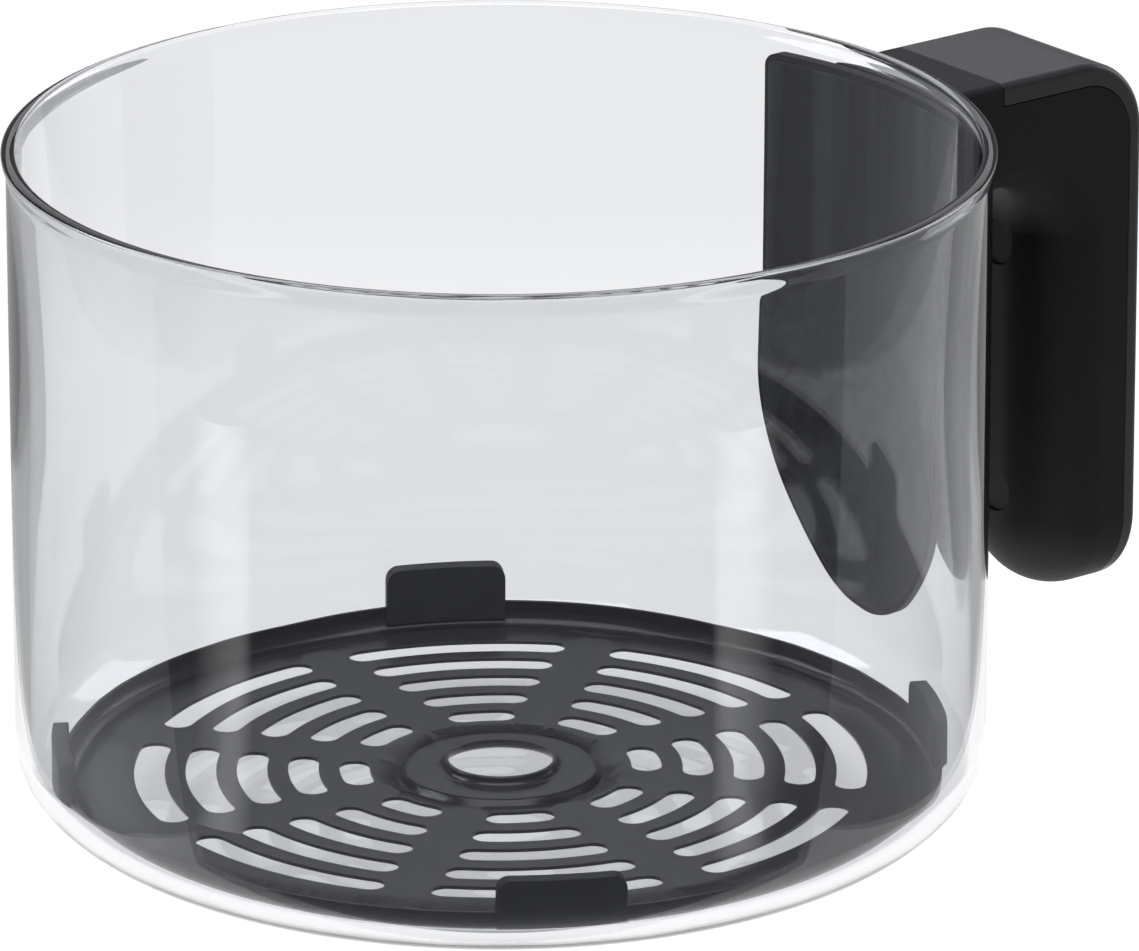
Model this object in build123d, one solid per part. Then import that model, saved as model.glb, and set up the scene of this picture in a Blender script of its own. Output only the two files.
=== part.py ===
"""Glass cooking bowl with a bonded side handle and a lift-out crisper plate.

Millimetres. +Z is up, +X points at the handle, and the origin is the centre of the bowl's flat foot.
"""

import os
from math import atan2, cos, degrees, radians, sin, sqrt, tan

from build123d import *

# ---------------------------------------------------------------- driving dimensions

# Blown borosilicate bowl
BOWL_RADIUS = 105.0
BOWL_HEIGHT = 151.2
GLASS_WALL = 3.5
GLASS_BASE = 3.5
CORNER_RUN = 28.5  # how far in from the wall the foot's curve reaches
CORNER_RISE = 19.0  # how high up the wall the foot's curve reaches
BEAD_RADIUS = 2.3  # fire-polished rim
BEAD_PROUD = 0.9  # rim bead beyond the outer wall

# Silicone bond and the saddle that it carries
PAD_THICKNESS = 0.8
PAD_MARGIN = 1.5  # the bond stops this far inside the saddle's edge
SADDLE_THICKNESS = 3.5
SADDLE_HALF_WIDTH = 34.0
SADDLE_TOP_DROP = 6.7  # below the bowl's rim
SADDLE_BOTTOM = 22.6
SADDLE_SHOULDER = 72.0  # height where the straight sides start to curve in
SADDLE_TIP_RADIUS = 21.0
SADDLE_CORNER = 3.0
SADDLE_EDGE = 1.0

# Handle: hollow arm and grip
ARM_DROP = 6.2  # arm's top below the bowl's rim
ARM_DEPTH = 25.0
HANDLE_WIDTH = 37.0
FINGER_GAP = 28.7  # from saddle to grip
GRIP_DEPTH = 26.2
GRIP_BOTTOM = 19.4
ELBOW_INNER_RADIUS = 15.0
ELBOW_OUTER_RADIUS = 17.0
GRIP_NOSE_RADIUS = 16.5  # rounding of the grip's finger side
ARM_EDGE_RADIUS = 4.0  # rounding of the arm's lower edges
OUTER_EDGE_RADIUS = 1.8
HANDLE_WALL = 2.6
ELBOW_SECTIONS = 5

# Cover that closes the arm's top and the grip's back
SEAM_GAP = 0.2
COVER_START = 14.7  # from the saddle to the cover's front edge
COVER_TOP_SKIRT = 5.3
COVER_BACK_SKIRT = 3.9
COVER_INNER_RADIUS = 12.3

# Spigot on the saddle, inside the arm
SPIGOT_LENGTH = 8.7
SPIGOT_FIT = 0.2

# Steel strap in the handle
STRAP_THICKNESS = 2.0
STRAP_WIDTH = 18.0
STRAP_BEND = 7.0
STRAP_TOP_ROOM = 4.4  # between the strap and the inside of the arm's top
STRAP_BACK_ROOM = 4.6  # between the strap and the inside of the cover's back
STRAP_TAIL = 16.0  # strap's end above the grip's bottom
STRAP_HOLE_FIT = 0.1
FLANGE_HEIGHT = 14.0

# Fasteners
SCREW_RADIUS = 1.5
SCREW_HOLE_RADIUS = 1.7
HEAD_RADIUS = 2.9
HEAD_HEIGHT = 2.0
HEAD_CHAMFER = 0.6
STRAP_SCREW_SPACING = 9.6
STRAP_SCREW_REACH = 6.0
INSERT_RADIUS = 2.3
INSERT_LENGTH = 7.0
NECK_SCREW_LENGTH = 10.0
NECK_HEAD_HEIGHT = 1.7
NECK_HEAD_SINK = 0.2
COVER_SCREW_HEIGHTS = (101.5, 44.0)
COVER_SCREW_REACH = 9.0
WELL_RADIUS = 5.2
WELL_DEPTH = 8.0
WELL_WALL = 1.6
WELL_FLOOR = 2.0
COVER_BOSS_RADIUS = 3.6
PLUG_FIT = 0.05
PLUG_LENGTH = 5.0
PLUG_SINK = 0.5

# Pressed crisper plate
SHEET = 0.8
PLATE_MARGIN = 6.0  # from the bowl's inner wall to the plate's rim
PLATE_RIDE = 0.85  # plate's underside above the glass at the start of its corner
PLATE_CORNER = 3.5
PLATE_WALL_HEIGHT = 5.3
HOLE_RADIUS = 11.3
COLLAR_HEIGHT = 2.6
COLLAR_BEND = 1.3
HUB_RADIUS = 20.6
PANEL_RISE = 1.7
PRESS_SLOPE = 45.0  # slope of each pressed step, in degrees
SECTORS = 8
SECTOR_TURN = -29.8  # direction of the first sector's centre line, in degrees from +X
GROOVE_WIDTH = 4.6  # floor of the radial channels
HUB_GROOVE_WIDTH = 3.0
RIM_GROOVE_WIDTH = 5.6
PANEL_CORNER = 6.0
SLOT_ROWS = 5
SLOT_PITCH = 11.1
SLOT_WIDTH = 6.6
SLOT_FIRST_GAP = 4.6  # panel's inner edge to the first slot's centre line
SLOT_TIP_GAP = 5.1  # slot's tip to the line between two sectors

# Silicone bumpers on the plate's upturned tabs
BUMPERS = 4
TAB_WIDTH = 20.0
TAB_RISE = 5.6
BUMPER_WIDTH = 27.0
BUMPER_RISE = 7.8
BUMPER_CORNER = 2.8
BUMPER_OUTER = 1.6
BUMPER_INNER = 1.1
BUMPER_FLAP_LIFT = 1.2  # inner flap's end above the plate's floor
GLASS_CLEARANCE = 0.35

SPARE = 10.0  # how far a cutting shape runs past what it cuts

# ---------------------------------------------------------------- derived places

FLAT_RADIUS = BOWL_RADIUS - CORNER_RUN
INNER_RADIUS = BOWL_RADIUS - GLASS_WALL
PAD_OUTER = BOWL_RADIUS + PAD_THICKNESS
SADDLE_OUTER = PAD_OUTER + SADDLE_THICKNESS
SADDLE_TOP = BOWL_HEIGHT - SADDLE_TOP_DROP

ARM_TOP = BOWL_HEIGHT - ARM_DROP
ARM_UNDERSIDE = ARM_TOP - ARM_DEPTH
GRIP_INNER = SADDLE_OUTER + FINGER_GAP
GRIP_OUTER = GRIP_INNER + GRIP_DEPTH
ELBOW_X = GRIP_INNER - ELBOW_INNER_RADIUS
ELBOW_Z = ARM_UNDERSIDE - ELBOW_INNER_RADIUS
DOME_Z = GRIP_BOTTOM + HANDLE_WIDTH / 2
COVER_FRONT = SADDLE_OUTER + COVER_START

SPIGOT_END = SADDLE_OUTER + SPIGOT_LENGTH
STRAP_TOP = ARM_TOP - HANDLE_WALL - STRAP_TOP_ROOM
STRAP_BACK = GRIP_OUTER - HANDLE_WALL - STRAP_BACK_ROOM
FLANGE_SCREW_Z = STRAP_TOP - STRAP_THICKNESS / 2 - FLANGE_HEIGHT / 2
WELL_FLOOR_X = GRIP_INNER + WELL_DEPTH
BOSS_SEAT_X = WELL_FLOOR_X + WELL_FLOOR

PLATE_RADIUS = INNER_RADIUS - PLATE_MARGIN
STEP_RUN = PANEL_RISE / tan(radians(PRESS_SLOPE))


def inner_corner_height(radius):
    """Height of the glass's inner surface at a radius."""
    share = min(1.0, max(0.0, (radius - FLAT_RADIUS) / (CORNER_RUN - GLASS_WALL)))
    return CORNER_RISE - (CORNER_RISE - GLASS_BASE) * sqrt(1 - share**2)


PLATE_BOTTOM = inner_corner_height(PLATE_RADIUS - PLATE_CORNER) + PLATE_RIDE
FLOOR_MID = PLATE_BOTTOM + SHEET / 2
PANEL_MID = FLOOR_MID + PANEL_RISE
RIM_TOP = PLATE_BOTTOM + PLATE_WALL_HEIGHT
BUMPER_TOP = RIM_TOP + BUMPER_RISE

# ---------------------------------------------------------------- helpers


def block(low, high):
    """Box between two opposite corners."""
    size = [b - a for a, b in zip(low, high)]
    return Pos(*low) * Box(*size, align=(Align.MIN, Align.MIN, Align.MIN))


def ring(inner, outer, bottom, top):
    """Upright tube round the bowl's axis."""
    height = top - bottom
    tube = Cylinder(outer, height) - Cylinder(inner, height)
    return Pos(0, 0, (bottom + top) / 2) * tube


def rod(radius, start, end, y=0.0, z=0.0):
    """Cylinder along X between two places."""
    place = Pos((start + end) / 2, y, z) * Rot(0, 90, 0)
    return place * Cylinder(radius, end - start)


def save(name, *solids):
    """Write one node's solids to its STEP file."""
    shape = solids[0] if len(solids) == 1 else Compound(children=list(solids))
    shape.label = name
    export_step(shape, f"parts/{name}.step")


# ---------------------------------------------------------------- glass bowl


def glass_bowl():
    """Body of revolution: flat foot, elliptical corner, straight wall and a round rim bead."""
    bead_z = BOWL_HEIGHT - BEAD_RADIUS
    outer_corner = EllipticalCenterArc(
        (FLAT_RADIUS, CORNER_RISE), CORNER_RUN, CORNER_RISE, start_angle=270, arc_size=90
    )
    inner_corner = EllipticalCenterArc(
        (FLAT_RADIUS, CORNER_RISE),
        CORNER_RUN - GLASS_WALL,
        CORNER_RISE - GLASS_BASE,
        start_angle=270,
        arc_size=90,
    )
    outline = [
        Line((0, 0), (FLAT_RADIUS, 0)),
        outer_corner,
        Line((BOWL_RADIUS, CORNER_RISE), (BOWL_RADIUS, bead_z)),
        Line((BOWL_RADIUS, bead_z), (INNER_RADIUS, bead_z)),
        Line((INNER_RADIUS, bead_z), (INNER_RADIUS, CORNER_RISE)),
        inner_corner,
        Line((FLAT_RADIUS, GLASS_BASE), (0, GLASS_BASE)),
        Line((0, GLASS_BASE), (0, 0)),
    ]
    bead = Pos(BOWL_RADIUS + BEAD_PROUD - BEAD_RADIUS, bead_z) * Circle(BEAD_RADIUS)
    section = Plane.XZ * (make_face(outline) + bead)
    return revolve(section, Axis.Z)


# ---------------------------------------------------------------- bond and saddle


def saddle_outline(inset):
    """Front view of the saddle: straight sides, then a three-arc bowl shape, inset all round."""
    half = SADDLE_HALF_WIDTH
    tip_z = SADDLE_BOTTOM + SADDLE_TIP_RADIUS
    rise = SADDLE_SHOULDER - tip_z
    span = half - SADDLE_TIP_RADIUS
    side_radius = (half**2 + rise**2 - SADDLE_TIP_RADIUS**2) / (2 * span)
    turn = degrees(atan2(rise, side_radius - half))
    side = Line((half, SADDLE_TOP), (half, SADDLE_SHOULDER))
    flank = JernArc(side @ 1, side % 1, side_radius, -turn)
    tip = JernArc(flank @ 1, flank % 1, SADDLE_TIP_RADIUS, turn - 90)
    lid = Line((0, SADDLE_TOP), (half, SADDLE_TOP))
    middle = Line(tip @ 1, (0, SADDLE_TOP))
    right = make_face([side, flank, tip, middle, lid])
    whole = right + mirror(right, Plane.YZ)
    whole = fillet(whole.vertices().group_by(Axis.Y)[-1], SADDLE_CORNER)
    return offset(whole, -inset) if inset else whole


def curved_plate(inset, inner, outer):
    """Saddle outline wrapped on the bowl between two radii."""
    shell = ring(inner, outer, SADDLE_BOTTOM - SPARE, SADDLE_TOP + SPARE)
    return shell & extrude(Plane.YZ * saddle_outline(inset), outer + SPARE)


def spigot():
    """Block on the saddle that the hollow arm slides over."""
    half = HANDLE_WIDTH / 2 - HANDLE_WALL - SPIGOT_FIT
    low = (PAD_OUTER, -half, ARM_UNDERSIDE + HANDLE_WALL + SPIGOT_FIT)
    high = (SPIGOT_END, half, ARM_TOP - HANDLE_WALL - SPIGOT_FIT)
    body = block(low, high)
    lower = body.edges().filter_by(Axis.X).group_by(Axis.Z)[0]
    return fillet(lower, ARM_EDGE_RADIUS - HANDLE_WALL)


def strap_screw_places():
    """Y and Z of the two screws that hold the strap's flange."""
    return [(side * STRAP_SCREW_SPACING / 2, FLANGE_SCREW_Z) for side in (-1, 1)]


def handle_saddle():
    """Curved plate with its spigot, bored for two brass inserts and the neck screw."""
    plate = curved_plate(0, PAD_OUTER, SADDLE_OUTER)
    outer_face = plate.faces().filter_by(GeomType.CYLINDER).sort_by(Axis.X)[-1]
    plate = fillet(outer_face.edges(), SADDLE_EDGE)
    body = plate + (spigot() - ring(0, PAD_OUTER, ARM_UNDERSIDE, ARM_TOP))
    for y, z in strap_screw_places():
        body -= rod(INSERT_RADIUS, SPIGOT_END - INSERT_LENGTH, SPIGOT_END, y, z)
    return body - neck_screw()


def brass_inserts():
    """Two threaded sleeves, pressed into the spigot."""
    sleeves = []
    for y, z in strap_screw_places():
        sleeve = rod(INSERT_RADIUS, SPIGOT_END - INSERT_LENGTH, SPIGOT_END, y, z)
        bore = rod(SCREW_RADIUS, SPIGOT_END - INSERT_LENGTH, SPIGOT_END, y, z)
        sleeves.append(sleeve - bore)
    return sleeves


# ---------------------------------------------------------------- hollow handle


def elbow_section(turn, gap, half, corner):
    """Section of the elbow, turned about the middle of its inner bend: 0 is level, 90 is upright."""
    reach = GRIP_DEPTH + ARM_DEPTH + ELBOW_OUTER_RADIUS
    face = Pos(gap + reach / 2, 0) * Rectangle(reach, 2 * half)
    face = fillet(face.vertices().group_by(Axis.X)[0], corner)
    c, s = cos(radians(turn)), sin(radians(turn))
    return Plane((ELBOW_X, 0, ELBOW_Z), x_dir=(c, 0, s), z_dir=(-s, 0, c)) * face


def handle_form(inset, root):
    """Arm, elbow and grip as one solid, inset all round; its nose rounding fades out to the arm's."""
    half = HANDLE_WIDTH / 2 - inset
    nose = GRIP_NOSE_RADIUS - inset
    edge = ARM_EDGE_RADIUS - inset
    inner = GRIP_INNER + inset
    outer = GRIP_OUTER - inset
    top = ARM_TOP - inset
    bottom = GRIP_BOTTOM + inset

    sides = Pos(0, (DOME_Z + ELBOW_Z) / 2) * Rectangle(2 * half, ELBOW_Z - DOME_Z)
    front = sides + Pos(0, DOME_Z) * Circle(half)
    grip = Pos(inner, 0, 0) * extrude(Plane.YZ * front, outer - inner)
    finger_side = grip.faces().sort_by(Axis.X)[0].edges().sort_by(Axis.Z)[:-1]
    grip = fillet(finger_side, nose)

    steps = ELBOW_SECTIONS - 1
    sections = [
        elbow_section(90 * k / steps, ELBOW_INNER_RADIUS + inset, half, nose + (edge - nose) * k / steps)
        for k in range(ELBOW_SECTIONS)
    ]
    elbow = loft(sections)

    arm = block((root, -half, ARM_UNDERSIDE + inset), (ELBOW_X, half, top))
    arm = fillet(arm.edges().filter_by(Axis.X).group_by(Axis.Z)[0], edge)

    side_view = Pos((root + outer) / 2, (bottom + top) / 2) * Rectangle(outer - root, top - bottom)
    back_corner = side_view.vertices().group_by(Axis.X)[-1].sort_by(Axis.Y)[-1]
    side_view = fillet(back_corner, ELBOW_OUTER_RADIUS - inset)
    trim = extrude(Plane.XZ * side_view, half + SPARE, both=True)
    return (grip + elbow + arm) & trim


def cover_zone(gap):
    """Everything behind the seam, which steps down the arm's side and follows the elbow to the back."""
    front = COVER_FRONT + gap
    back = GRIP_OUTER - COVER_BACK_SKIRT + gap
    seam_z = ARM_TOP - COVER_TOP_SKIRT + gap
    far_x = GRIP_OUTER + SPARE
    far_z = ARM_TOP + SPARE
    low_x = front - SPARE
    low_z = GRIP_BOTTOM - SPARE
    whole = Pos((front + far_x) / 2, (low_z + far_z) / 2) * Rectangle(far_x - front, far_z - low_z)
    grip_side = Pos((low_x + back) / 2, (low_z + seam_z) / 2) * Rectangle(back - low_x, seam_z - low_z)
    corner = grip_side.vertices().group_by(Axis.X)[-1].sort_by(Axis.Y)[-1]
    grip_side = fillet(corner, COVER_INNER_RADIUS + gap)
    return extrude(Plane.XZ * (whole - grip_side), HANDLE_WIDTH, both=True)


def handle_skin():
    """Outside of the closed handle, with its back and top edges eased."""
    skin = handle_form(0, PAD_OUTER - SPARE)
    top = skin.edges().filter_by(Axis.X).group_by(Axis.Z)[-1]
    skin = fillet(top, OUTER_EDGE_RADIUS)
    return skin - ring(0, SADDLE_OUTER, GRIP_BOTTOM, BOWL_HEIGHT)


def handle_hollow():
    """Inside of the closed handle, open towards the saddle."""
    return handle_form(HANDLE_WALL, PAD_OUTER - 2 * SPARE)


def handle_grip(skin, hollow):
    """Inner moulding: the arm's tube and the grip's finger side, with two screw wells."""
    body = skin - hollow
    for z in COVER_SCREW_HEIGHTS:
        body += rod(WELL_RADIUS + WELL_WALL, GRIP_INNER + HANDLE_WALL / 2, BOSS_SEAT_X, z=z)
    body -= cover_zone(0)
    for z in COVER_SCREW_HEIGHTS:
        body -= rod(WELL_RADIUS, GRIP_INNER - SPARE, WELL_FLOOR_X, z=z)
        body -= rod(SCREW_HOLE_RADIUS, WELL_FLOOR_X, BOSS_SEAT_X, z=z)
    return body - neck_screw()


def handle_cover(skin, hollow):
    """Outer moulding: a strip over the arm, round the elbow and down the back, with two bosses."""
    body = (skin - hollow) & cover_zone(SEAM_GAP)
    for z in COVER_SCREW_HEIGHTS:
        body += rod(COVER_BOSS_RADIUS, BOSS_SEAT_X, GRIP_OUTER - HANDLE_WALL / 2, z=z)
        body -= rod(SCREW_RADIUS, BOSS_SEAT_X, BOSS_SEAT_X + COVER_SCREW_REACH, z=z)
    return body


def handle_strap():
    """Bent steel strip: flange on the spigot, run along the arm and tail down the grip."""
    mid = STRAP_THICKNESS / 2
    flange_x = SPIGOT_END + mid
    top_z = STRAP_TOP - mid
    line = FilletPolyline(
        (flange_x, top_z - FLANGE_HEIGHT),
        (flange_x, top_z),
        (STRAP_BACK - mid, top_z),
        (STRAP_BACK - mid, GRIP_BOTTOM + STRAP_TAIL),
        radius=[STRAP_THICKNESS, STRAP_BEND],
    )
    strip = extrude(Plane.XZ * trace(line, STRAP_THICKNESS), STRAP_WIDTH / 2, both=True)
    for z in COVER_SCREW_HEIGHTS:
        hole = COVER_BOSS_RADIUS + STRAP_HOLE_FIT
        strip -= rod(hole, STRAP_BACK - STRAP_THICKNESS - SPARE, STRAP_BACK + SPARE, z=z)
    for y, z in strap_screw_places():
        strip -= rod(SCREW_HOLE_RADIUS, SPIGOT_END, SPIGOT_END + STRAP_THICKNESS, y, z)
    return strip


# ---------------------------------------------------------------- fasteners


def strap_screws():
    """Two pan-head screws through the flange into the brass inserts."""
    seat = SPIGOT_END + STRAP_THICKNESS
    screws = []
    for y, z in strap_screw_places():
        head = rod(HEAD_RADIUS, seat, seat + HEAD_HEIGHT, y, z)
        head = chamfer(head.edges().sort_by(Axis.X)[-1], HEAD_CHAMFER)
        screws.append(head + rod(SCREW_RADIUS, SPIGOT_END - STRAP_SCREW_REACH, seat, y, z))
    return screws


def neck_screw():
    """Countersunk screw up through the arm's underside into the spigot."""
    x = SADDLE_OUTER + SPIGOT_LENGTH / 2
    head_z = ARM_UNDERSIDE + NECK_HEAD_SINK
    middle = head_z + NECK_HEAD_HEIGHT / 2
    head = Pos(x, 0, middle) * Cone(HEAD_RADIUS, SCREW_RADIUS, NECK_HEAD_HEIGHT)
    shank = Pos(x, 0, head_z + NECK_SCREW_LENGTH / 2) * Cylinder(SCREW_RADIUS, NECK_SCREW_LENGTH)
    return head + shank


def cover_screws():
    """Two screws from the bottoms of the wells into the cover's bosses."""
    screws = []
    for z in COVER_SCREW_HEIGHTS:
        head = rod(HEAD_RADIUS, WELL_FLOOR_X - HEAD_HEIGHT, WELL_FLOOR_X, z=z)
        head = chamfer(head.edges().sort_by(Axis.X)[0], HEAD_CHAMFER)
        screws.append(head + rod(SCREW_RADIUS, WELL_FLOOR_X, BOSS_SEAT_X + COVER_SCREW_REACH, z=z))
    return screws


def screw_plugs():
    """Two push-in plugs that close the wells on the finger side."""
    start = GRIP_INNER + PLUG_SINK
    return [rod(WELL_RADIUS - PLUG_FIT, start, start + PLUG_LENGTH, z=z) for z in COVER_SCREW_HEIGHTS]


# ---------------------------------------------------------------- crisper plate


def panel_outline(inset):
    """Raised sector between two channels, rounded at its corners and inset from its foot line."""
    inner = HUB_RADIUS + STEP_RUN + HUB_GROOVE_WIDTH + inset
    outer = PLATE_RADIUS - PLATE_CORNER - RIM_GROOVE_WIDTH - inset
    side = GROOVE_WIDTH / 2 + inset
    half = 180 / SECTORS
    slant = (cos(radians(half)), sin(radians(half)))
    shift = (side * slant[1], -side * slant[0])
    far = 2 * PLATE_RADIUS
    left = (far * slant[0] + shift[0], far * slant[1] + shift[1])
    tip = (side / sin(radians(half)), 0)
    wedge = make_face(Polyline(tip, (left[0], -left[1]), left, close=True))
    face = wedge & (Circle(outer) - Circle(inner))
    corners = face.vertices().group_by(Axis.X)
    face = fillet(corners[-1], PANEL_CORNER)
    return fillet(face.vertices().group_by(Axis.X)[0], PANEL_CORNER / 2)


def slots():
    """Concentric slots of one sector, each ending short of the lines between sectors."""
    first = HUB_RADIUS + HUB_GROOVE_WIDTH + 2 * STEP_RUN + SLOT_FIRST_GAP
    cutters = []
    for row in range(SLOT_ROWS):
        radius = first + row * SLOT_PITCH
        tip = SLOT_TIP_GAP + SLOT_WIDTH / 2
        half = 180 / SECTORS - degrees(atan2(tip, radius))
        centre_line = CenterArc((0, 0), radius, -half, 2 * half)
        cutters.append(SlotArc(centre_line, SLOT_WIDTH))
    return Sketch() + cutters


def tab_block(width, low, high, corner):
    """Upright slab with rounded top corners, across the plate's rim in the direction of +X."""
    face = Pos(0, (low + high) / 2) * Rectangle(width, high - low)
    face = fillet(face.vertices().group_by(Axis.Y)[-1], corner)
    return Pos(PLATE_RADIUS - SPARE, 0, 0) * extrude(Plane.YZ * face, 2 * SPARE)


def bumper_turns():
    """Directions of the tabs: the middles of every other sector."""
    return [SECTOR_TURN + 360 * k / BUMPERS for k in range(BUMPERS)]


def crisper_plate():
    """Pressed sheet: collared hole, hub, raised slotted sectors, upturned wall and four tabs."""
    wall_mid = PLATE_RADIUS - SHEET / 2
    line = FilletPolyline(
        (HOLE_RADIUS + SHEET / 2, PANEL_MID + COLLAR_HEIGHT),
        (HOLE_RADIUS + SHEET / 2, PANEL_MID),
        (HUB_RADIUS, PANEL_MID),
        (HUB_RADIUS + STEP_RUN, FLOOR_MID),
        (wall_mid, FLOOR_MID),
        (wall_mid, RIM_TOP + TAB_RISE),
        radius=[COLLAR_BEND, 0, 0, PLATE_CORNER - SHEET / 2],
    )
    plate = revolve(Plane.XZ * trace(line, SHEET), Axis.Z)

    foot_spread = SHEET / 2 / tan(radians(PRESS_SLOPE))
    under_inset = SHEET * tan(radians(PRESS_SLOPE / 2))
    raised = Plane.XY.offset(FLOOR_MID) * panel_outline(-foot_spread)
    raised = extrude(raised, SHEET / 2 + PANEL_RISE, taper=90 - PRESS_SLOPE)
    pocket = Plane.XY.offset(PLATE_BOTTOM) * panel_outline(under_inset)
    pocket = extrude(pocket, PANEL_RISE, taper=90 - PRESS_SLOPE)
    through = Plane.XY.offset(PLATE_BOTTOM) * slots()
    cutters = extrude(through, PANEL_RISE + 2 * SHEET)
    for k in range(SECTORS):
        turn = Rot(0, 0, SECTOR_TURN + 360 * k / SECTORS)
        plate = plate + turn * raised - turn * pocket - turn * cutters

    spare_wall = ring(PLATE_RADIUS - 2 * SHEET, PLATE_RADIUS + SHEET, RIM_TOP, BUMPER_TOP)
    tab = tab_block(TAB_WIDTH, RIM_TOP - SHEET, RIM_TOP + TAB_RISE, BUMPER_CORNER)
    for turn in bumper_turns():
        spare_wall -= Rot(0, 0, turn) * tab
    return plate - spare_wall


def bumper(plate):
    """Silicone sleeve on the first tab: it grips the tab and stands on the glass's curved corner."""
    inner, outer = PLATE_RADIUS - SHEET - BUMPER_INNER, PLATE_RADIUS + BUMPER_OUTER
    body = ring(inner, outer, PLATE_BOTTOM, BUMPER_TOP)
    body &= tab_block(BUMPER_WIDTH, PLATE_BOTTOM, BUMPER_TOP, BUMPER_CORNER)
    flap_end = PLATE_BOTTOM + SHEET + BUMPER_FLAP_LIFT
    body -= ring(0, PLATE_RADIUS - SHEET, PLATE_BOTTOM - SPARE, flap_end)
    run = CORNER_RUN - GLASS_WALL - GLASS_CLEARANCE
    rise = CORNER_RISE - GLASS_BASE - GLASS_CLEARANCE
    curve = EllipticalCenterArc((FLAT_RADIUS, CORNER_RISE), run, rise, start_angle=270, arc_size=90)
    corner = (FLAT_RADIUS + run, CORNER_RISE - rise)
    under = make_face([curve, Line(curve @ 0, corner), Line(corner, curve @ 1)])
    body -= revolve(Plane.XZ * under, Axis.Z)
    return Rot(0, 0, bumper_turns()[0]) * body - plate


# ---------------------------------------------------------------- build

os.makedirs("parts", exist_ok=True)

save("glass_bowl", glass_bowl())
save("bond_pad", curved_plate(PAD_MARGIN, BOWL_RADIUS, PAD_OUTER))
save("handle_saddle", handle_saddle())

handle_outside = handle_skin()
handle_inside = handle_hollow()
save("handle_grip", handle_grip(handle_outside, handle_inside))
save("handle_cover", handle_cover(handle_outside, handle_inside))
save("handle_strap", handle_strap())

save("brass_inserts", *brass_inserts())
save("strap_screws", *strap_screws())
save("neck_screw", neck_screw())
save("cover_screws", *cover_screws())
save("screw_plugs", *screw_plugs())

plate_solid = crisper_plate()
save("crisper_plate", plate_solid)
first_bumper = bumper(plate_solid)
for number in range(BUMPERS):
    save(f"bumper_{number + 1}", Rot(0, 0, 360 * number / BUMPERS) * first_bumper)
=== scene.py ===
from math import atan2, cos, pi, radians, sin, sqrt, tan

import bmesh
import bpy
from mathutils import Matrix, Vector


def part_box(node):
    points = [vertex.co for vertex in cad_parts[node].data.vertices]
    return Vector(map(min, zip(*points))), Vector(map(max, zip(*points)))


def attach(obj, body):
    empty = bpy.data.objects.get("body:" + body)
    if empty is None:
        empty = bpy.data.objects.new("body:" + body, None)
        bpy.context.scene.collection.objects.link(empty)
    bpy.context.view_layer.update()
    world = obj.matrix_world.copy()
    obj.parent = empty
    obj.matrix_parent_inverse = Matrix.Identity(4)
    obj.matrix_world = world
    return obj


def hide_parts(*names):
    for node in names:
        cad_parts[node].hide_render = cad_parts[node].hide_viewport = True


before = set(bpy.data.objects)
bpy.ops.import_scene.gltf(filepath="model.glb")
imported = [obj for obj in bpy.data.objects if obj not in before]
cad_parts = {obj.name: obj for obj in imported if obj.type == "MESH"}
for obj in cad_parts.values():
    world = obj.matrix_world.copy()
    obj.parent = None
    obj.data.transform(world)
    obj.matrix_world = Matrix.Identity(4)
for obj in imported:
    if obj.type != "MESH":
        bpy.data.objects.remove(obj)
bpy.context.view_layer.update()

# ---------------------------------------------------------------- glass bowl
# The bowl is blown borosilicate glass: a straight wall with a fire-polished lip round its mouth, an
# elliptical corner and a flat foot. It is one closed skin, inside and out, and carries everything else.

MM = 0.001
GLASS_WALL = 3.5 * MM
GLASS_BASE = 3.5 * MM
RIM_PROUD = 0.9 * MM
LIP_WIDTH = 3.2 * MM
LIP_ROUND = 1.1 * MM  # height of the lip's fire-polished rounding
LIP_FLARE = 5.0 * MM  # how far below the rim's top the outer wall starts to flare
BOND_GAP = 0.08 * MM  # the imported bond's facets stay outside the wall
FOOT_RUN = 28.5 * MM
FOOT_RISE = 19.0 * MM
GLASS_STEPS = 256
CORNER_STEPS = 40
FLARE_STEPS = 10
LIP_STEPS = 24
TAPER_STEPS = 16
RING_GAP = 1.0 * MM  # the straight wall's end rings, close to its curves, keep its faces true
FOOT_RING = 0.98  # so does the flat foot's last ring, at this share of its radius
GLASS_TINT = (0.848, 0.856, 0.872, 1)
GLASS_IOR = 1.47


def arc(centre, radii, start, end, steps):
    """Points along an elliptical arc from one angle to another, in degrees, both ends included."""
    turns = [radians(start + (end - start) * k / steps) for k in range(steps + 1)]
    return [(centre[0] + radii[0] * cos(t), centre[1] + radii[1] * sin(t)) for t in turns]


def swept(start, end, steps):
    """Points along an S curve that leaves one radius and height, and meets another, upright."""
    shares = [(k / steps, (1 - cos(pi * k / steps)) / 2) for k in range(steps + 1)]
    return [(start[0] + (end[0] - start[0]) * s, start[1] + (end[1] - start[1]) * t) for t, s in shares]


def turned(shape, outline, steps, first_turn=0.0):
    """Spin an outline of radius and height pairs round the bowl's axis."""
    points = [shape.verts.new((radius, 0, height)) for radius, height in outline]
    edges = [shape.edges.new(pair) for pair in zip(points, points[1:])]
    bmesh.ops.rotate(shape, verts=points, cent=(0, 0, 0), matrix=Matrix.Rotation(first_turn, 3, "Z"))
    bmesh.ops.spin(shape, geom=points + edges, cent=(0, 0, 0), axis=(0, 0, 1), angle=2 * pi, steps=steps,
                   use_merge=True)


def finished(name, shape, body, material):
    """Close a bmesh into a smooth piece that rides on a body and takes its material and slot."""
    mesh = bpy.data.meshes.new(name)
    shape.to_mesh(mesh)
    shape.free()
    mesh.shade_smooth()
    mesh.materials.append(material)
    piece = bpy.data.objects.new(name, mesh)
    bpy.context.scene.collection.objects.link(piece)
    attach(piece, body)
    return piece


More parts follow.
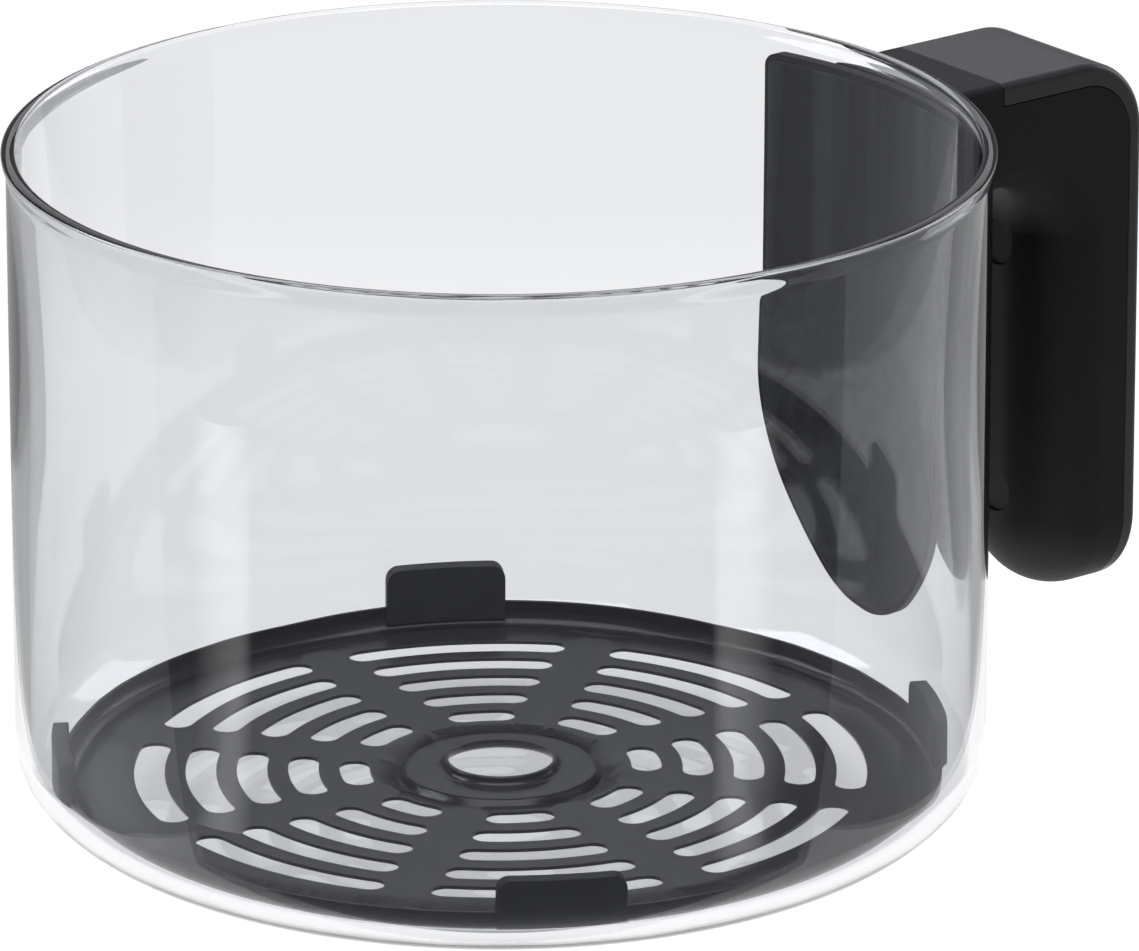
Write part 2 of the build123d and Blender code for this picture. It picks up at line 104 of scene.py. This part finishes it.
class Wire:
    """A shader node's output. Arithmetic on it adds Math nodes, and add() brings in any other node."""

    def __init__(self, tree, socket=None):
        self.tree = tree
        self.socket = socket

    def add(self, kind, settings=None, inputs=None, output=0):
        node = self.tree.nodes.new("ShaderNode" + kind)
        for name, value in (settings or {}).items():
            if name == "stops":
                ramp = node.color_ramp.elements
                while len(ramp) < len(value):
                    ramp.new(1)
                for stop, (place, colour) in zip(ramp, value):
                    stop.position = place
                    stop.color = colour
            else:
                setattr(node, name, value)
        for name, value in (inputs or {}).items():
            if isinstance(value, Wire):
                self.tree.links.new(value.socket, node.inputs[name])
            else:
                node.inputs[name].default_value = value
        return Wire(self.tree, node.outputs[output])

    def math(self, operation, first, second):
        return self.add("Math", {"operation": operation}, {0: first, 1: second})

    def __add__(self, other):
        return self.math("ADD", self, other)

    def __sub__(self, other):
        return self.math("SUBTRACT", self, other)

    def __rsub__(self, other):
        return self.math("SUBTRACT", other, self)

    def __mul__(self, other):
        return self.math("MULTIPLY", self, other)

    def __pow__(self, other):
        return self.math("POWER", self, other)

    __radd__ = __add__
    __rmul__ = __mul__


class Finish:
    """A material: constants go on the shader's sockets, and feed() links what changes over the surface."""

    def __init__(self, name, **constants):
        self.material = bpy.data.materials.new(name)
        self.material.use_nodes = True
        tree = self.material.node_tree
        self.shader = tree.nodes["Principled BSDF"]
        for socket, value in constants.items():
            self.shader.inputs[socket.replace("_", " ")].default_value = value
        self.start = Wire(tree)
        self.place = self.start.add("TexCoord", output=3)

    def feed(self, socket, wire):
        wire.tree.links.new(wire.socket, self.shader.inputs[socket])

    def noise(self, size, detail=2.0, stretch=(1, 1, 1), roughness=0.5):
        """Cloudy noise from 0 to 1 with features about this size in metres."""
        spread = self.start.add("Mapping", inputs={"Vector": self.place, "Scale": stretch})
        values = {"Vector": spread, "Scale": 1 / size, "Detail": detail, "Roughness": roughness}
        return self.start.add("TexNoise", inputs=values)

    def blend(self, share, low, high):
        """Colour between two others by a share from 0 to 1."""
        return self.start.add("Mix", {"data_type": "RGBA"}, {0: share, 6: low, 7: high}, output=2)

    def bump(self, height, depth, strength=1.0):
        """Normal of a relief this deep in metres."""
        return self.start.add("Bump", inputs={"Height": height, "Distance": depth, "Strength": strength})


def clear_glass():
    glass = Finish("clear_glass", Base_Color=GLASS_TINT, Roughness=0.0, IOR=GLASS_IOR,
                   Transmission_Weight=1.0)
    waves = glass.noise(24 * MM, detail=1.0, stretch=(1, 1, 0.35))
    glass.feed("Normal", glass.bump(waves, 0.05 * MM))
    return glass.material


low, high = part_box("glass_bowl")
RIM_TOP = high.z
WALL_RADIUS = high.x - RIM_PROUD - BOND_GAP
FLAT_RADIUS = WALL_RADIUS - FOOT_RUN
INNER_RADIUS = WALL_RADIUS - GLASS_WALL
LIP_LEVEL = RIM_TOP - LIP_ROUND

outline = [(0, 0), (FLAT_RADIUS * FOOT_RING, 0)]
outline += arc((FLAT_RADIUS, FOOT_RISE), (FOOT_RUN, FOOT_RISE), 270, 360, CORNER_STEPS)
outline += [(WALL_RADIUS, FOOT_RISE + RING_GAP), (WALL_RADIUS, RIM_TOP / 2)]
outline += [(WALL_RADIUS, RIM_TOP - LIP_FLARE - RING_GAP)]
outline += swept((WALL_RADIUS, RIM_TOP - LIP_FLARE), (high.x, LIP_LEVEL), FLARE_STEPS)
outline += arc((high.x - LIP_WIDTH / 2, LIP_LEVEL), (LIP_WIDTH / 2, LIP_ROUND), 0, 180, LIP_STEPS)[1:]
outline += swept((high.x - LIP_WIDTH, LIP_LEVEL), (INNER_RADIUS, RIM_TOP / 2), TAPER_STEPS)[1:]
outline += [(INNER_RADIUS, FOOT_RISE + RING_GAP)]
inner_corner = (FOOT_RUN - GLASS_WALL, FOOT_RISE - GLASS_BASE)
outline += arc((FLAT_RADIUS, FOOT_RISE), inner_corner, 360, 270, CORNER_STEPS)
outline += [(FLAT_RADIUS * FOOT_RING, GLASS_BASE), (0, GLASS_BASE)]

shape = bmesh.new()
turned(shape, outline, GLASS_STEPS)
bmesh.ops.remove_doubles(shape, verts=shape.verts, dist=1e-6)
bmesh.ops.recalc_face_normals(shape, faces=shape.faces)
bowl = finished("bowl_glass", shape, "bowl", clear_glass())
bowl.modifiers.new("true_faces", "WEIGHTED_NORMAL").keep_sharp = True
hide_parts("glass_bowl")

# ---------------------------------------------------------------- bond and saddle
# Black silicone bonds a curved nylon saddle to the outside of the glass. The glass shows the bond as a
# dark field with duller islands where the silicone has not wetted the wall.


def soft_edges(node, width, segments=2, angle=30):
    """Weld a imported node's facets, ease its sharp edges and shade it smooth."""
    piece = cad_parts[node]
    piece.data.shade_smooth()
    weld = piece.modifiers.new("weld", "WELD")
    weld.merge_threshold = 0.002 * MM
    flat = piece.modifiers.new("flat", "DECIMATE")
    flat.decimate_type = "DISSOLVE"
    flat.angle_limit = radians(0.5)
    ease = piece.modifiers.new("ease", "BEVEL")
    ease.width = width
    ease.segments = segments
    ease.limit_method = "ANGLE"
    ease.angle_limit = radians(angle)
    even = piece.modifiers.new("even", "WEIGHTED_NORMAL")
    even.keep_sharp = True
    return piece


def painted(node, material):
    """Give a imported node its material."""
    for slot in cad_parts[node].material_slots:
        slot.material = material


def moulded_black(name, colour, roughness, shine=0.28):
    """Black nylon with a fine spark-eroded grain."""
    nylon = Finish(name, IOR=1.5, Specular_IOR_Level=shine)
    grain = nylon.noise(0.35 * MM, detail=3.0)
    cloud = nylon.noise(14 * MM, detail=3.0)
    darker, lighter = ([c * share for c in colour] + [1] for share in (0.85, 1.2))
    nylon.feed("Base Color", nylon.blend(cloud, darker, lighter))
    nylon.feed("Roughness", roughness - 0.06 + 0.1 * cloud + 0.03 * grain)
    nylon.feed("Normal", nylon.bump(grain, 0.02 * MM))
    return nylon.material


def bond_silicone():
    silicone = Finish("bond_silicone", IOR=1.42, Specular_IOR_Level=0.3)
    islands = silicone.noise(17 * MM, detail=4.0, roughness=0.6)
    streaks = silicone.noise(11 * MM, detail=3.0, stretch=(1, 1, 0.03))
    height = silicone.start.add("SeparateXYZ", inputs={"Vector": silicone.place}, output=2)
    low = silicone.start.add("MapRange", {"interpolation_type": "SMOOTHSTEP"},
                             {"Value": height, "From Min": 105 * MM, "From Max": 70 * MM})
    dulled = silicone.start.add("ValToRGB", {"stops": [(0.46, (0, 0, 0, 1)), (0.64, (1, 1, 1, 1))]},
                                {"Fac": (islands + 0.11) * low + streaks * (1 - low)})
    wet, dry = (0.006, 0.0065, 0.008, 1), (0.085, 0.094, 0.120, 1)
    silicone.feed("Base Color", silicone.blend(dulled, wet, dry))
    silicone.feed("Roughness", 0.3 + 0.35 * dulled)
    return silicone.material


NYLON = (0.0088, 0.0092, 0.0110)
grip_nylon = moulded_black("grip_nylon", NYLON, 0.60)
painted("bond_pad", bond_silicone())
painted("handle_saddle", grip_nylon)
soft_edges("bond_pad", 0.2 * MM)
soft_edges("handle_saddle", 0.3 * MM)

# ---------------------------------------------------------------- handle
# The handle is two hollow nylon mouldings: the grip half slides over the saddle's spigot, and the cover
# closes the arm's top and the grip's back along one even seam. Two plugs close the screw wells.

cover_nylon = moulded_black("cover_nylon", (0.0120, 0.0125, 0.0145), 0.38, shine=0.7)
painted("handle_grip", grip_nylon)
painted("handle_cover", cover_nylon)
painted("screw_plugs", grip_nylon)
soft_edges("handle_grip", 0.25 * MM)
soft_edges("handle_cover", 0.25 * MM)
soft_edges("screw_plugs", 0.3 * MM)

# ---------------------------------------------------------------- strap and fasteners
# Inside the handle a bent steel strip is screwed to brass inserts in the spigot. A countersunk screw
# under the arm and two more in the wells hold the mouldings together.


def plated_steel(name, colour, roughness):
    steel = Finish(name, Metallic=1.0)
    brushed = steel.noise(0.8 * MM, detail=3.0, stretch=(0.05, 1, 1))
    darker, lighter = ([c * share for c in colour] + [1] for share in (0.85, 1.0))
    steel.feed("Base Color", steel.blend(brushed, darker, lighter))
    steel.feed("Roughness", roughness - 0.08 + 0.16 * brushed)
    steel.feed("Normal", steel.bump(brushed, 0.01 * MM))
    return steel.material


painted("handle_strap", plated_steel("strap_strip", (0.56, 0.57, 0.58), 0.36))
painted("brass_inserts", plated_steel("insert_brass", (0.80, 0.62, 0.30), 0.30))
zinc = plated_steel("zinc_screw", (0.62, 0.63, 0.65), 0.28)
for fastener in ("strap_screws", "neck_screw", "cover_screws"):
    painted(fastener, zinc)
    soft_edges(fastener, 0.15 * MM)
soft_edges("handle_strap", 0.25 * MM)
soft_edges("brass_inserts", 0.1 * MM)

# ---------------------------------------------------------------- crisper plate
# The plate is one pressed sheet with a black non-stick coat: a collared hole in a raised hub, eight
# raised sectors with five arc slots each, and an upturned wall whose four tabs carry the bumpers.

SHEET = 0.8 * MM
HOLE_RADIUS = 11.3 * MM
COLLAR_HEIGHT = 2.6 * MM
COLLAR_BEND = 1.7 * MM
HUB_RADIUS = 20.6 * MM
PANEL_RISE = 1.7 * MM
STEP_SLOPE = radians(45)
FOOT_BEND = 0.9 * MM
BROW_BEND = 1.5 * MM
WALL_BEND = 2.7 * MM
WALL_HEIGHT = 5.3 * MM
SECTORS = 8
SECTOR_TURN = radians(-29.8)
CHANNEL = 4.6 * MM
HUB_CHANNEL = 3.0 * MM
RIM_CHANNEL = 5.6 * MM
PANEL_CORNER = 6.0 * MM
SLOT_ROWS = 5
SLOT_PITCH = 11.1 * MM
SLOT_WIDTH = 6.6 * MM
SLOT_FIRST_GAP = 4.6 * MM
SLOT_TIP_GAP = 5.1 * MM
TABS = 4
PLATE_STEPS = 240
TAB_STEPS = 4  # steps of the wall from a tab's middle to its side

low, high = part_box("crisper_plate")
PLATE_RADIUS = (high.x - low.x) / 2
FLOOR_TOP = low.z + SHEET
PANEL_TOP = FLOOR_TOP + PANEL_RISE
WALL_TOP = low.z + WALL_HEIGHT
HALF_SECTOR = pi / SECTORS
STEP_RUN = PANEL_RISE / tan(STEP_SLOPE)
EASE = tan(STEP_SLOPE / 2)  # a bend's tangent length as a share of its radius


def pressed_step():
    """Inward run and height of the sloping pressed step with its rounded foot and brow."""
    foot = [(FOOT_BEND * sin(t), FOOT_BEND * (1 - cos(t))) for t in (STEP_SLOPE * k / 3 for k in range(4))]
    brow = [(BROW_BEND * sin(t), BROW_BEND * (1 - cos(t))) for t in (STEP_SLOPE * k / 4 for k in range(5))]
    run = STEP_RUN + (FOOT_BEND + BROW_BEND) * EASE
    return foot + [(run - x, PANEL_RISE - z) for x, z in reversed(brow)]


def sector_loop(inner, outer, side, inner_corner, outer_corner):
    """Outline of one sector on the +X axis, its sides a distance from the lines between sectors."""
    along = Vector((cos(HALF_SECTOR), -sin(HALF_SECTOR)))
    inward = Vector((sin(HALF_SECTOR), cos(HALF_SECTOR)))
    side_turn = -90 - 180 / SECTORS

    def corner_centre(reach, corner):
        return along * sqrt(reach**2 - (side + corner) ** 2) + inward * (side + corner)

    near = corner_centre(inner + inner_corner, inner_corner)
    far = corner_centre(outer - outer_corner, outer_corner)
    near_turn = atan2(near.y, near.x) * 180 / pi
    far_turn = atan2(far.y, far.x) * 180 / pi
    half = arc((0, 0), (inner, inner), 0, near_turn, 5)[:-1]
    half += arc(near, (inner_corner, inner_corner), near_turn - 180, side_turn, 8)
    half += arc(far, (outer_corner, outer_corner), side_turn, far_turn, 10)
    half += arc((0, 0), (outer, outer), far_turn, 0, 12)[1:]
    return half[:-1] + [(x, -y) for x, y in reversed(half)][:-1]


def slot_loop(radius):
    """Outline of one arc slot on the +X axis."""
    half = 180 / SECTORS - atan2(SLOT_TIP_GAP + SLOT_WIDTH / 2, radius) * 180 / pi
    steps = 4 + int(radius / (8 * MM))
    tip = (radius * cos(radians(half)), radius * sin(radians(half)))
    reach = SLOT_WIDTH / 2
    loop = arc((0, 0), (radius + reach, radius + reach), -half, half, steps)[:-1]
    loop += arc(tip, (reach, reach), half, half + 180, 10)[:-1]
    loop += arc((0, 0), (radius - reach, radius - reach), half, -half, steps)[:-1]
    loop += arc((tip[0], -tip[1]), (reach, reach), 180 - half, 360 - half, 10)[:-1]
    return loop


def flat_loop(shape, outline, height):
    """Closed loop of edges at one height."""
    points = [shape.verts.new((x, y, height)) for x, y in outline]
    return [shape.edges.new(pair) for pair in zip(points, points[1:] + points[:1])]


def raised_sector(shape, turn):
    """One sector: its step is inset ring by ring, and its top is filled round its slots."""
    reach = FOOT_BEND * EASE
    inner = HUB_RADIUS + STEP_RUN + HUB_CHANNEL - reach
    outer = PLATE_RADIUS - SHEET - WALL_BEND - RIM_CHANNEL + reach
    outline = sector_loop(inner, outer, CHANNEL / 2 - reach, PANEL_CORNER / 2 + reach, PANEL_CORNER + reach)
    before = set(shape.verts)
    foot = flat_loop(shape, outline, FLOOR_TOP)
    top = bmesh.ops.contextual_create(shape, geom=foot)["faces"][0]
    if top.normal.z < 0:
        top.normal_flip()
    ring = pressed_step()
    for (run, rise), (next_run, next_rise) in zip(ring, ring[1:]):
        bmesh.ops.inset_region(shape, faces=[top], thickness=next_run - run, depth=next_rise - rise,
                               use_even_offset=True)
    brow = list(top.edges)
    bmesh.ops.delete(shape, geom=[top], context="FACES_ONLY")
    first = HUB_RADIUS + HUB_CHANNEL + 2 * STEP_RUN + SLOT_FIRST_GAP
    for row in range(SLOT_ROWS):
        brow += flat_loop(shape, slot_loop(first + row * SLOT_PITCH), PANEL_TOP)
    bmesh.ops.triangle_fill(shape, edges=brow, use_beauty=True, normal=(0, 0, 1))
    new = [v for v in shape.verts if v not in before]
    bmesh.ops.rotate(shape, verts=new, cent=(0, 0, 0), matrix=Matrix.Rotation(turn, 3, "Z"))
    return foot


def hub_outline():
    """Collar, bend, hub top and the step down to the floor."""
    collar = HOLE_RADIUS + SHEET
    points = [(collar, PANEL_TOP + COLLAR_HEIGHT - SHEET)]
    points += arc((collar + COLLAR_BEND, PANEL_TOP + COLLAR_BEND), (COLLAR_BEND, COLLAR_BEND), 180, 270, 8)
    foot = HUB_RADIUS + STEP_RUN + FOOT_BEND * EASE
    points += [(foot - run, FLOOR_TOP + rise) for run, rise in reversed(pressed_step())]
    return points


def open_edges(shape, height):
    """Edges at one height that have a face on one side only."""
    level = [e for e in shape.edges if all(abs(v.co.z - height) < 0.01 * MM for v in e.verts)]
    return [e for e in level if e.is_boundary]


def nonstick_coat():
    coat = Finish("nonstick_coat", IOR=1.5, Specular_IOR_Level=0.34)
    peel = coat.noise(0.9 * MM, detail=2.0)
    cloud = coat.noise(22 * MM, detail=3.0)
    height = coat.start.add("SeparateXYZ", inputs={"Vector": coat.place}, output=2)
    # Painted shade: the coat's colour is darkened low down, in the channels and the steps between the
    # raised sectors.
    raised = coat.start.add("MapRange", {"interpolation_type": "SMOOTHSTEP"},
                            {"Value": height, "From Min": FLOOR_TOP, "From Max": PANEL_TOP, "To Min": 0.3})
    painted_channel_shade, proud = (0.002, 0.002, 0.003, 1), (0.022, 0.023, 0.031, 1)
    coat.feed("Base Color", coat.blend(raised * (0.7 + 0.3 * cloud), painted_channel_shade, proud))
    coat.feed("Roughness", 0.18 + 0.08 * cloud)
    coat.feed("Normal", coat.bump(peel, 0.006 * MM))
    return coat.material


shape = bmesh.new()
rim_start = PLATE_RADIUS - SHEET - WALL_BEND
rim = arc((rim_start, FLOOR_TOP + WALL_BEND), (WALL_BEND, WALL_BEND), 270, 360, 8)
rim.append((PLATE_RADIUS - SHEET, WALL_TOP))
turned(shape, rim, PLATE_STEPS, SECTOR_TURN)
turned(shape, hub_outline(), PLATE_STEPS, SECTOR_TURN)
bmesh.ops.remove_doubles(shape, verts=shape.verts, dist=1e-6)

floor_edges = open_edges(shape, FLOOR_TOP)
wall_edges = open_edges(shape, WALL_TOP)
tab_half = (TAB_STEPS + 0.01) * 2 * pi / PLATE_STEPS
for tab in range(TABS):
    turn = SECTOR_TURN + tab * 2 * pi / TABS
    out = Vector((cos(turn), sin(turn)))
    base = [e for e in wall_edges if all(v.co.xy.angle(out) < tab_half for v in e.verts)]
    grown = bmesh.ops.extrude_edge_only(shape, edges=base)["geom"]
    tips = [item for item in grown if isinstance(item, bmesh.types.BMVert)]
    bmesh.ops.translate(shape, vec=(0, 0, high.z - WALL_TOP), verts=tips)
for sector in range(SECTORS):
    floor_edges += raised_sector(shape, SECTOR_TURN + sector * 2 * HALF_SECTOR)
bmesh.ops.triangle_fill(shape, edges=floor_edges, use_beauty=True, normal=(0, 0, 1))
bmesh.ops.recalc_face_normals(shape, faces=shape.faces)
upward = sum(f.normal.z * f.calc_area() for f in shape.faces)
if upward < 0:
    bmesh.ops.reverse_faces(shape, faces=shape.faces)
plate = finished("crisper_sheet", shape, "crisper", nonstick_coat())
wall = plate.modifiers.new("gauge", "SOLIDIFY")
wall.thickness = SHEET
wall.offset = -1
wall.use_even_offset = True
burr = plate.modifiers.new("edges", "BEVEL")
burr.width = 0.12 * MM
burr.segments = 2
burr.limit_method = "ANGLE"
burr.angle_limit = radians(50)
even = plate.modifiers.new("even", "WEIGHTED_NORMAL")
even.keep_sharp = True
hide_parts("crisper_plate")

# ---------------------------------------------------------------- silicone bumpers
# Each tab wears a moulded silicone sleeve that centres the plate and stands it on the curved corner of
# the glass, so the coated metal never touches the wall.


def bumper_silicone():
    silicone = Finish("bumper_silicone", IOR=1.42, Specular_IOR_Level=0.3)
    grain = silicone.noise(0.5 * MM, detail=3.0)
    cloud = silicone.noise(7 * MM, detail=3.0)
    silicone.feed("Base Color", silicone.blend(cloud, (0.034, 0.035, 0.040, 1), (0.050, 0.052, 0.060, 1)))
    silicone.feed("Roughness", 0.46 + 0.12 * cloud)
    silicone.feed("Normal", silicone.bump(grain, 0.02 * MM))
    return silicone.material


soft_rubber = bumper_silicone()
for number in range(TABS):
    painted(f"bumper_{number + 1}", soft_rubber)
    soft_edges(f"bumper_{number + 1}", 0.5 * MM, segments=3)

# ---------------------------------------------------------------- studio
# A glowing table on a pale floor, lit by broad softboxes overhead, behind and at both sides.
# A dark cloth and two glowing cards lie in front, where only reflections reach them.

HANDLE_TURN = radians(37.4)  # the handle's direction, from the picture's right towards its depth
TABLE_LEVEL = -0.2 * MM
CLOTH_LEVEL = -0.6 * MM
FLOOR_LEVEL = -1.0 * MM
# Each sheet's corners, as distances to the right and away.
TABLE_PLAN = [(-0.130, -0.095), (0.134, -0.095), (0.425, 5.0), (-0.375, 5.0)]
LEFT_CARD_PLAN = [(-0.117, -0.129), (-0.138, -0.099), (-0.406, -0.161), (-0.353, -0.269)]
RIGHT_CARD_PLAN = [(0.090, -0.134), (0.114, -0.110), (0.383, -0.218), (0.312, -0.321)]
CLOTH_PLAN = [(-3, -3), (3, -3), (3, -0.096), (-3, -0.096)]
FLOOR_PLAN = [(-20, -20), (20, -20), (20, 20), (-20, 20)]
BLACK = (0, 0, 0, 1)
WHITE = (1, 1, 1, 1)
SOFTBOX_COLOUR = (0.94, 0.955, 1.0)
ROOM_COLOUR = (0.17, 0.173, 0.18, 1)

right = Vector((cos(HANDLE_TURN), -sin(HANDLE_TURN), 0))
away = Vector((sin(HANDLE_TURN), cos(HANDLE_TURN), 0))


def placed(x, y, z):
    """A place this far to the right, away and up."""
    return right * x + away * y + Vector((0, 0, z))


def glowing(name, strength):
    return Finish(name, Base_Color=BLACK, Specular_IOR_Level=0.0, Emission_Strength=strength)


def table_sheet():
    """A glowing sheet with a painted shadow under the bowl, and brighter round it than further back."""
    table = glowing("pale_table", 1.12)
    along = table.start.add("TexCoord", output=2)
    depth = table.start.add("SeparateXYZ", inputs={"Vector": along}, output=1)
    stops = [(0.077, WHITE), (0.101, (0.9, 0.9, 0.9, 1))]
    fade = table.start.add("ValToRGB", {"stops": stops}, {"Fac": depth})
    # Painted shadow: the glow is dimmed in a disc under the bowl.
    reach = table.start.add("VectorMath", {"operation": "LENGTH"}, {0: table.place}, output=1)
    shade = table.start.add("MapRange", {"interpolation_type": "SMOOTHSTEP"},
                            {"Value": reach, "From Min": 74 * MM, "From Max": 83 * MM, "To Min": 0.86})
    table.feed("Emission Color", table.blend(shade, BLACK, fade))
    return table.material


def floor_sheet():
    floor = glowing("pale_floor", 0.48)
    floor.shader.inputs["Emission Color"].default_value = (0.97, 0.985, 1, 1)
    return floor.material


def card_sheet():
    """A card that glows along its middle and fades to its long edges."""
    card = glowing("glow_card", 2.2)
    across = card.start.add("SeparateXYZ", inputs={"Vector": card.start.add("TexCoord", output=2)})
    glow = (4 * across * (1 - across)) ** 1.5
    card.feed("Emission Color", card.blend(glow, BLACK, WHITE))
    return card.material


def cloth_sheet():
    cloth = Finish("black_cloth", Base_Color=(0.02, 0.02, 0.02, 1), Roughness=1.0, Specular_IOR_Level=0.0)
    return cloth.material


def sheet(name, plan, level, material, only_mirrored=False):
    """A flat four-sided sheet. One that is only mirrored is reached by reflections alone."""
    shape = bmesh.new()
    points = [shape.verts.new(placed(x, y, level)) for x, y in plan]
    face = bmesh.ops.contextual_create(shape, geom=points)["faces"][0]
    across = shape.loops.layers.uv.new("across")
    for loop in face.loops:
        loop[across].uv = (points.index(loop.vert) in (1, 2), points.index(loop.vert) in (2, 3))
    mesh = bpy.data.meshes.new(name)
    shape.to_mesh(mesh)
    shape.free()
    mesh.materials.append(material)
    flat = bpy.data.objects.new(name, mesh)
    flat.visible_camera = not only_mirrored
    flat.visible_transmission = not only_mirrored
    bpy.context.scene.collection.objects.link(flat)


def softbox(name, size, place, target, power):
    light = bpy.data.lights.new(name, "AREA")
    light.shape = "RECTANGLE"
    light.size, light.size_y = size
    light.energy = power
    light.color = SOFTBOX_COLOUR
    box = bpy.data.objects.new(name, light)
    box.location = place
    box.rotation_mode = "QUATERNION"
    box.rotation_quaternion = (Vector(target) - place).to_track_quat("-Z", "Y")
    bpy.context.scene.collection.objects.link(box)


sheet("table", TABLE_PLAN, TABLE_LEVEL, table_sheet())
sheet("floor", FLOOR_PLAN, FLOOR_LEVEL, floor_sheet())
sheet("front_cloth", CLOTH_PLAN, CLOTH_LEVEL, cloth_sheet(), only_mirrored=True)
sheet("left_card", LEFT_CARD_PLAN, TABLE_LEVEL, card_sheet(), only_mirrored=True)
sheet("right_card", RIGHT_CARD_PLAN, TABLE_LEVEL, card_sheet(), only_mirrored=True)

softbox("overhead", (1.6, 1.2), placed(0, -0.3, 1.7), (0, 0, 0.05), 20)
softbox("behind", (3.2, 1.2), placed(0, 2.0, 1.35), (0, 0, 0.1), 10)
softbox("right_back", (0.8, 1.0), placed(1.5, 1.0, 0.6), (0.12, 0, 0.08), 6)
softbox("left_side", (0.9, 0.9), placed(-1.4, 0.3, 1.2), (0, 0, 0.05), 14)

world = bpy.data.worlds.new("room")
world.use_nodes = True
world.node_tree.nodes["Background"].inputs["Color"].default_value = ROOM_COLOUR
bpy.context.scene.world = world
bpy.context.scene.view_settings.view_transform = "Standard"

# ---------------------------------------------------------------- camera
# A long lens looks down a little on the bowl, with the handle behind on the right.

CAMERA_DISTANCE = 2.450
CAMERA_RISE = radians(19.2)
LENS = 360.7
AIM_HEIGHT = 0.070
AIM_RIGHT = 0.0149
AIM_UP = 0.0058

forward = away * cos(CAMERA_RISE) - Vector((0, 0, sin(CAMERA_RISE)))
camera_data = bpy.data.cameras.new("camera")
camera_data.lens = LENS
camera_data.sensor_width = 36
camera = bpy.data.objects.new("camera", camera_data)
camera.location = Vector((0, 0, AIM_HEIGHT)) - forward * CAMERA_DISTANCE
aim = Vector((0, 0, AIM_HEIGHT)) + right * AIM_RIGHT + right.cross(forward) * AIM_UP
camera.rotation_mode = "QUATERNION"
camera.rotation_quaternion = (aim - camera.location).to_track_quat("-Z", "Y")
bpy.context.scene.collection.objects.link(camera)
bpy.context.scene.camera = camera
